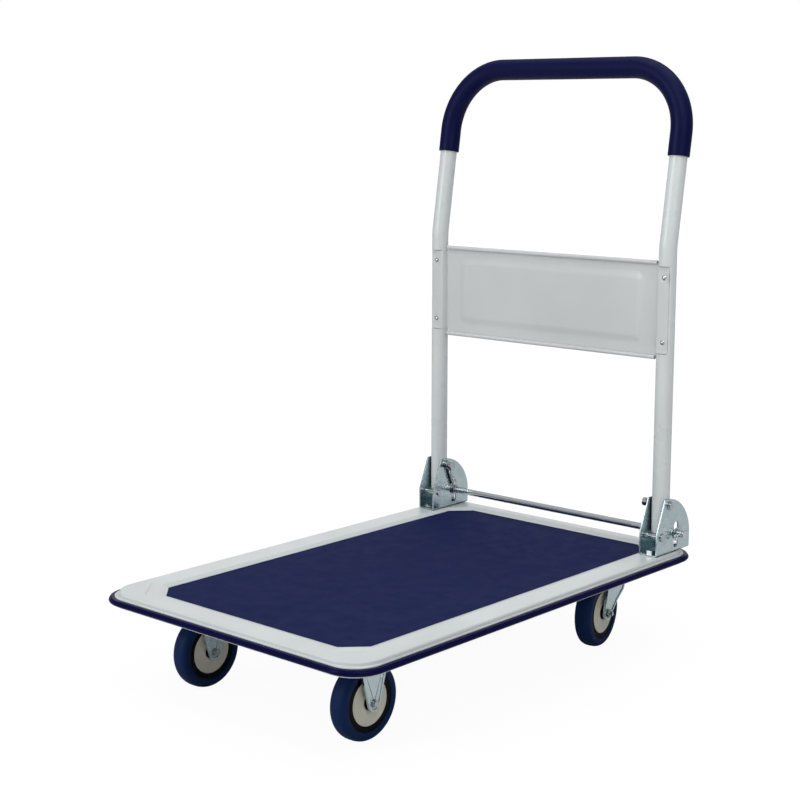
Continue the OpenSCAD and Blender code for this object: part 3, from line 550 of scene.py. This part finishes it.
def build_grip():
    """A sleeve with rounded ends and a slightly uneven skin."""
    centres = grip_centreline()
    last = len(centres) - 1
    forward = np.array((math.cos(LEAN), 0.0, math.sin(LEAN)))
    angles = np.linspace(0, 2 * math.pi, 56, endpoint=False)
    bore = TUBE_R + 0.06

    def ring(i, radius, push=0.0, wobble=0.0):
        tangent = centres[min(i + 1, last)] - centres[max(i - 1, 0)]
        tangent /= np.linalg.norm(tangent)
        side = np.cross(tangent, forward)
        centre = centres[i] + tangent * push
        ripple = wobble * math.sin(i * 0.21 + 1.3)
        return [tuple(centre + (radius + ripple * math.sin(3 * a + i * 0.37))
                      * (forward * math.cos(a) + side * math.sin(a))) for a in angles]

    # radius, distance in from the end
    end = [(bore, 0), (TUBE_R + 1.0, 0), (GRIP_R - 0.9, 0), (GRIP_R - 0.35, 0.12),
           (GRIP_R - 0.02, 0.6), (GRIP_R, 1.4)]
    rings = [ring(0, radius, push) for radius, push in end]
    rings += [ring(i, GRIP_R, wobble=0.05) for i in range(1, last)]
    rings += [ring(last, radius, -push) for radius, push in reversed(end)]
    rings += [ring(i, bore) for i in range(last - 1, 0, -1)]
    shape = Shape()
    shape.loft(rings, wrap=True)
    new_object("grip_soft", shape, "grip", 50, "handle", "grip_sleeve")


build_grip()

# ---------------------------------------------------------------- back panel
# The sheet's middle surface is a grid: rows go up (curl, flat, curl), columns go from the
# right upright's tab across the body to the left upright's tab.
SHEET_T = 1.15
SHEET_X = TUBE_X - 1.65
CURL_R = 2.4
TAB_U = 7.65                               # flat face of a tab, forward of the upright's axis
TAB_V0, TAB_V1 = -8.4, 8.2                 # its extent, outwards from the axis
TAB_CORNER_R = 4.0

# section of a tab about its upright's axis: u forwards, v outwards
WRAP = [(-1.65, -14.95)]
WRAP += arc(0.15, -14.95, 1.8, np.linspace(180, 90, 6)[1:])
WRAP += arc(0, 0, 13.15, range(-85, -62, 5))
WRAP += [(6.45, -11.45), (7.0, -10.8), (7.38, -10.1), (7.58, -9.3), (TAB_U, TAB_V0)]
TAB_SECTION = WRAP + [(TAB_U, v) for v in (
    -6.5, -5.2, -4.0, -2.8, -1.6, 0.0, 1.6, 2.8, 4.0, 5.2, 6.2, 7.2, TAB_V1)]


def emboss(y, z):
    """Forward height of the raised field above the sheet."""
    half_y, half_z, radius = 161.8, 45.3, 8.0
    past_y = abs(y) - (half_y - radius)
    past_z = abs(z - (DECK_TOP + 345.8)) - (half_z - radius)
    distance = (math.hypot(max(past_y, 0), max(past_z, 0)) + min(max(past_y, past_z), 0)
                - radius)
    return 1.9 * smooth01(-distance / 13.0 + 0.5)


def tab_point(k, z):
    """x, y of point k of the left tab's section, with its round corners and rivet dents."""
    u, v = TAB_SECTION[k]
    if k >= len(WRAP):
        edge = min(z - TAB_Z0, TAB_Z1 - z)
        reach = TAB_V1
        if edge < TAB_CORNER_R:
            rise = max(TAB_CORNER_R ** 2 - (TAB_CORNER_R - edge) ** 2, 0)
            reach -= TAB_CORNER_R - math.sqrt(rise)
        v = TAB_V0 + (v - TAB_V0) * (reach - TAB_V0) / (TAB_V1 - TAB_V0)
        # a shallow dent round each rivet, and the free edge lifted beside it
        for rivet_z, lift in zip(RIVET_Z, (0.5, 1.3)):
            u -= 0.35 * smooth01((7.0 - math.hypot(v, z - rivet_z)) / 2.5)
            u += lift * smooth01((v - 5.2) / 3.0) * smooth01((9.0 - abs(z - rivet_z)) / 6.0)
    return TUBE_X + u, TUBE_Y + v


def flat_heights():
    """Row heights, closer at the field's edges, the rivets and the tab ends."""
    heights = [PANEL_Z0 + 5, PANEL_Z1 - 5]
    for start, end, count in ((294, 307, 14), (309, 381, 9), (383.5, 398, 16)):
        heights += list(np.linspace(DECK_TOP + start, DECK_TOP + end, count))
    for step in (0, 0.25, 0.9, 1.9, 2.9, 4.0, 6.0):
        heights += [TAB_Z0 + step, TAB_Z1 - step]
    for z in RIVET_Z:
        heights += list(np.linspace(z - 9, z + 9, 13))
    heights = sorted(set(round(z, 3) for z in heights))
    return heights[:1] + [z for below, z in zip(heights, heights[1:]) if z - below > 0.15]


def build_panel():
    # x, z of each row; x is None on the flat
    curl_x = SHEET_X + CURL_R
    rows = arc(curl_x, PANEL_Z0 + 3, CURL_R, np.linspace(472, 180, 28))
    rows += [(None, z) for z in flat_heights()]
    rows += arc(curl_x, PANEL_Z1 - 3, CURL_R, np.linspace(180, -112, 28))

    # side and section point for a tab column, 0 and y for a body column
    left = [*np.linspace(0, 150, 16), *np.linspace(153.5, 170, 18), *np.linspace(172, 190, 6)]
    body = [-y for y in reversed(left[1:])] + left
    points = range(len(TAB_SECTION))
    columns = [(-1, k) for k in reversed(points)] + [(0, y) for y in body]
    columns += [(1, k) for k in points]

    index, verts, faces = {}, [], []
    for r, (curl, z) in enumerate(rows):
        off_tab = curl is not None or z < TAB_Z0 - 0.01 or z > TAB_Z1 + 0.01
        for c, (side, value) in enumerate(columns):
            if side and off_tab:
                continue
            if side:
                x, y = tab_point(value, z)
                y *= side
            else:
                x, y = SHEET_X + emboss(value, z) if curl is None else curl, value
            index[r, c] = len(verts)
            verts.append((x, y, z))
    for r in range(len(rows) - 1):
        for c in range(len(columns) - 1):
            quad = [(r, c), (r, c + 1), (r + 1, c + 1), (r + 1, c)]
            if all(key in index for key in quad):
                faces.append([index[key] for key in quad])
    panel = new_object("back_panel_sheet", Shape(verts, faces), "panel_paint", 60, "handle",
                       "back_panel")
    solid = panel.modifiers.new("thickness", "SOLIDIFY")
    solid.thickness = SHEET_T * MM
    solid.offset = 0.0
    solid.use_even_offset = True
    bevel = panel.modifiers.new("edge", "BEVEL")
    bevel.width = 0.3 * MM
    bevel.segments = 2
    bevel.limit_method = "ANGLE"
    bevel.angle_limit = math.radians(60)


build_panel()


# ---------------------------------------------------------------- springs
def build_spring(side_name, side):
    """A close coil between the pivot pin and the lock bar, with a hook at each end."""
    wire_r, coil_r = 0.65, 2.85
    pin = np.array((PIVOT[0], SPRING_Y * side, PIVOT[1]))
    bar = np.array((LOCK_BAR[0], SPRING_Y * side, LOCK_BAR[1]))
    length = np.linalg.norm(bar - pin)
    down = (bar - pin) / length
    left = np.array((0, 1.0, 0))
    across = np.cross(left, down)

    def hook(centre, radius, start, end, way):
        return [centre + way * radius * (down * math.cos(t) + across * math.sin(t))
                for t in np.linspace(math.radians(start), math.radians(end), 34)]

    coil_start, coil_end = 8.2, length - 9.6
    points = hook(pin, 4.8, 32, 325, 1)
    lead = points[-1]
    start = pin + down * coil_start - across * coil_r
    points += [lead + (start - lead) * smooth01(t) for t in np.linspace(0, 1, 6)[1:]]

    steps = int((coil_end - coil_start) / (2 * wire_r * 1.07)) * 20    # 20 steps to a turn
    for k in range(1, steps + 1):
        phase = math.pi + 2 * math.pi * k / 20
        points.append(pin + down * (coil_start + (coil_end - coil_start) * k / steps)
                      + coil_r * (across * math.cos(phase) + left * math.sin(phase)))

    lower = hook(bar, 5.8, 35, 328, -1)
    lead = points[-1]
    points += [lead + (lower[0] - lead) * t for t in np.linspace(0, 1, 6)[1:-1]]
    points += lower

    shape = Shape()
    wire(shape, points, wire_r, sides=10, up=(0, 1, 0.2))
    spring = new_object(side_name + "_spring_coil", shape, "spring", 60)
    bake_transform(spring)
    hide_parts(side_name + "_return_spring")


build_spring("left", 1)
build_spring("right", -1)

# ---------------------------------------------------------------- wheels
# distance along the axle, radius
TYRE_SIDE = [(10.8, 37.52), (11.5, 37.6), (11.9, 37.95), (12.15, 38.9), (12.38, 40.2),
             (12.48, 41.4)]
HUB_COVER = [(9.05, 10.2), (9.05, 29.95), (10.5, 29.95), (10.95, 29.6), (11.1, 29.0),
             (11.08, 28.3), (10.85, 27.7), (10.5, 27.2), (10.42, 26.5), (10.30, 22.0),
             (10.26, 17.5), (10.32, 15.2), (10.5, 14.2), (10.95, 13.7), (11.1, 13.0),
             (11.1, 10.7), (10.9, 10.2)]


def tyre_profile():
    """The side wall, then a squarish crown up to the tread, mirrored."""
    half_width, crown = 12.5, 7.8
    half = list(TYRE_SIDE)
    for a in np.radians(range(0, 90, 6)):
        half.append((half_width * math.cos(a) ** 0.74,
                     WHEEL_R - crown + crown * math.sin(a) ** 0.84))
    return half + [(0.0, WHEEL_R)] + [(-y, r) for y, r in reversed(half)]


def build_wheel(wheel):
    side = 1 if "left" in wheel else -1
    turn = TURN.get(wheel, 0.0)
    if wheel.startswith("front"):
        centre = (FRONT_AXLE[0], side * FRONT_AXLE[1], WHEEL_R)
    else:
        centre = (KINGPIN[0] + TRAIL * math.cos(turn),
                  side * KINGPIN[1] + TRAIL * math.sin(turn), WHEEL_R)
    body = wheel + "_wheel"
    tyre = Shape()
    lathe(tyre, tyre_profile(), centre, 144, turn)
    new_object(wheel + "_tyre_rubber", tyre, "tyre", 60, body, wheel + "_tyre")
    covers = Shape()
    for profile in (HUB_COVER, [(-y, r) for y, r in reversed(HUB_COVER)]):
        lathe(covers, profile, centre, 112, turn)
    new_object(wheel + "_hub_covers", covers, "cap", 50, body, wheel + "_caps")


for wheel in ("front_left", "front_right", "rear_left", "rear_right"):
    build_wheel(wheel)

# ---------------------------------------------------------------- CAD pieces that stay in view
EDGE_WIDTH = {                             # width of the edge bevel, where not the default
    "left_bracket": 0.35, "right_bracket": 0.35, "front_left_fork": 1.0,
    "front_right_fork": 1.0, "rear_left_fork": 0.4, "rear_right_fork": 0.4,
    "front_channel": 0.5, "rear_channel": 0.5, "handle_tube": 0.3, "kingpins": 0.4,
    "rear_left_swivel_plate": 0.4, "rear_right_swivel_plate": 0.4, "cotter_pins": 0.15,
    "panel_rivets": 0.2, "lock_rod": 0.3,
}
DEFAULT_EDGE_WIDTH = 0.25


def dress_cad_piece(node, obj, slot):
    """Gives a CAD piece its material and softened edges."""
    mesh = obj.data
    # stored normals would override the smooth shading
    if "custom_normal" in mesh.attributes:
        mesh.attributes.remove(mesh.attributes["custom_normal"])
    mesh.materials.clear()
    mesh.materials.append(MATERIALS[slot])
    mesh.shade_smooth()
    weld = obj.modifiers.new("weld", "WELD")
    weld.merge_threshold = 0.000002
    bevel = obj.modifiers.new("edge", "BEVEL")
    bevel.width = EDGE_WIDTH.get(node, DEFAULT_EDGE_WIDTH) * MM
    bevel.segments = 3
    bevel.limit_method = "ANGLE"
    bevel.angle_limit = math.radians(32)
    bevel.harden_normals = True
    bevel.use_clamp_overlap = True
    bevel.miter_outer = "MITER_ARC"


slots = {part["node"]: part["material_slot"] for part in frame["record"]["subparts"]}
for node, obj in frame["nodes"].items():
    if not obj.hide_render:
        dress_cad_piece(node, obj, slots[node])


# ---------------------------------------------------------------- stage, light, camera
def build_world():
    """White to the camera; a soft light that grows towards the zenith for everything else."""
    world = bpy.data.worlds.new("studio")
    bpy.context.scene.world = world
    n = Nodes(world)
    seen = n.add("Background", {"Color": (1, 1, 1, 1), "Strength": 1.0})
    split = n.add("SeparateXYZ", {0: n.add("TexCoord").outputs["Generated"]})
    strength = n.add("MapRange", {
        "Value": split.outputs["Z"], "From Min": -0.1, "From Max": 0.9,
        "To Min": 0.10, "To Max": 0.52})
    lit = n.add("Background", {"Color": (0.97, 0.985, 1, 1), "Strength": strength.outputs[0]})
    mixed = n.add("MixShader", {
        0: n.add("LightPath").outputs["Is Camera Ray"], 1: lit.outputs[0], 2: seen.outputs[0]})
    n.add("OutputWorld", {0: mixed.outputs[0]})


def floor_material():
    """Grey paper that glows to white away from the origin, for the camera only."""
    material = bpy.data.materials.new("floor_paper")
    n = Nodes(material)
    paper = n.add("BsdfDiffuse", {"Color": (0.72, 0.72, 0.72, 1)})
    glow = n.add("Emission", {"Strength": 1.04})
    geometry = n.add("NewGeometry")
    distance = n.add("VectorMath", {0: geometry.outputs["Position"]}, operation="LENGTH")
    fade = n.add("MapRange", {
        "From Min": 0.2, "From Max": 1.1, "To Min": 0.91, "Value": distance.outputs["Value"],
    }, interpolation_type="SMOOTHSTEP")
    amount = n.add("Math", {
        0: fade.outputs[0], 1: n.add("LightPath").outputs["Is Camera Ray"],
    }, operation="MULTIPLY")
    top = n.add("MixShader", {0: amount.outputs[0], 1: paper.outputs[0], 2: glow.outputs[0]})
    # seen from below, the floor is clear, so the underside can be looked at
    clear = n.add("BsdfTransparent")
    both = n.add("MixShader", {
        0: geometry.outputs["Backfacing"], 1: top.outputs[0], 2: clear.outputs[0]})
    n.add("OutputMaterial", {0: both.outputs[0]})
    return material


def build_floor():
    half = 30.0
    mesh = bpy.data.meshes.new("floor")
    mesh.from_pydata([(-half, -half, 0), (half, -half, 0), (half, half, 0), (-half, half, 0)],
                     [], [(0, 1, 2, 3)])
    floor = bpy.data.objects.new("floor", mesh)
    floor.location = (0, 0, -0.0002)
    bpy.context.scene.collection.objects.link(floor)
    mesh.materials.append(floor_material())


def softbox(name, at, look, size, power):
    light = bpy.data.lights.new(name, "AREA")
    light.shape = "RECTANGLE"
    light.size, light.size_y = size
    light.energy = power
    obj = bpy.data.objects.new(name, light)
    obj.location = at
    obj.rotation_mode = "QUATERNION"
    obj.rotation_quaternion = (Vector(look) - Vector(at)).to_track_quat("-Z", "Y")
    bpy.context.scene.collection.objects.link(obj)
    obj.visible_camera = False


def build_camera():
    camera = bpy.data.cameras.new("camera")
    camera.sensor_width = 36.0
    camera.lens = 73.9152
    camera.clip_start, camera.clip_end = 0.05, 100.0
    obj = bpy.data.objects.new("camera", camera)
    right = Vector((-0.6678, 0.7443, 0.0011)).normalized()
    back = Vector((0.7333, 0.6576, 0.1728)).normalized()
    up = back.cross(right).normalized()
    right = up.cross(back).normalized()
    pose = Matrix((right, up, back)).transposed().to_4x4()
    pose.translation = Vector((1.6321, 1.4409, 0.7512))
    obj.matrix_world = pose
    bpy.context.scene.collection.objects.link(obj)
    bpy.context.scene.camera = obj


build_world()
build_floor()
softbox("top", at=(-0.2, 0.2, 2.6), look=(0, 0, 0.2), size=(2.4, 2.2), power=15)
softbox("right", at=(1.0, 2.7, 1.9), look=(-0.1, 0, 0.3), size=(1.4, 1.4), power=14)
softbox("left", at=(2.8, -1.0, 1.4), look=(0, 0, 0.3), size=(1.2, 2.0), power=32)
softbox("key", at=(0.95, 1.15, 2.15), look=(-0.2, 0, 0.4), size=(0.3, 0.3), power=6)
softbox("back", at=(-2.4, -1.6, 0.9), look=(-0.1, 0, 0.3), size=(3.0, 1.2), power=8)
build_camera()
view = bpy.context.scene.view_settings
view.view_transform = "Standard"
view.look = "None"
view.exposure = 0.0
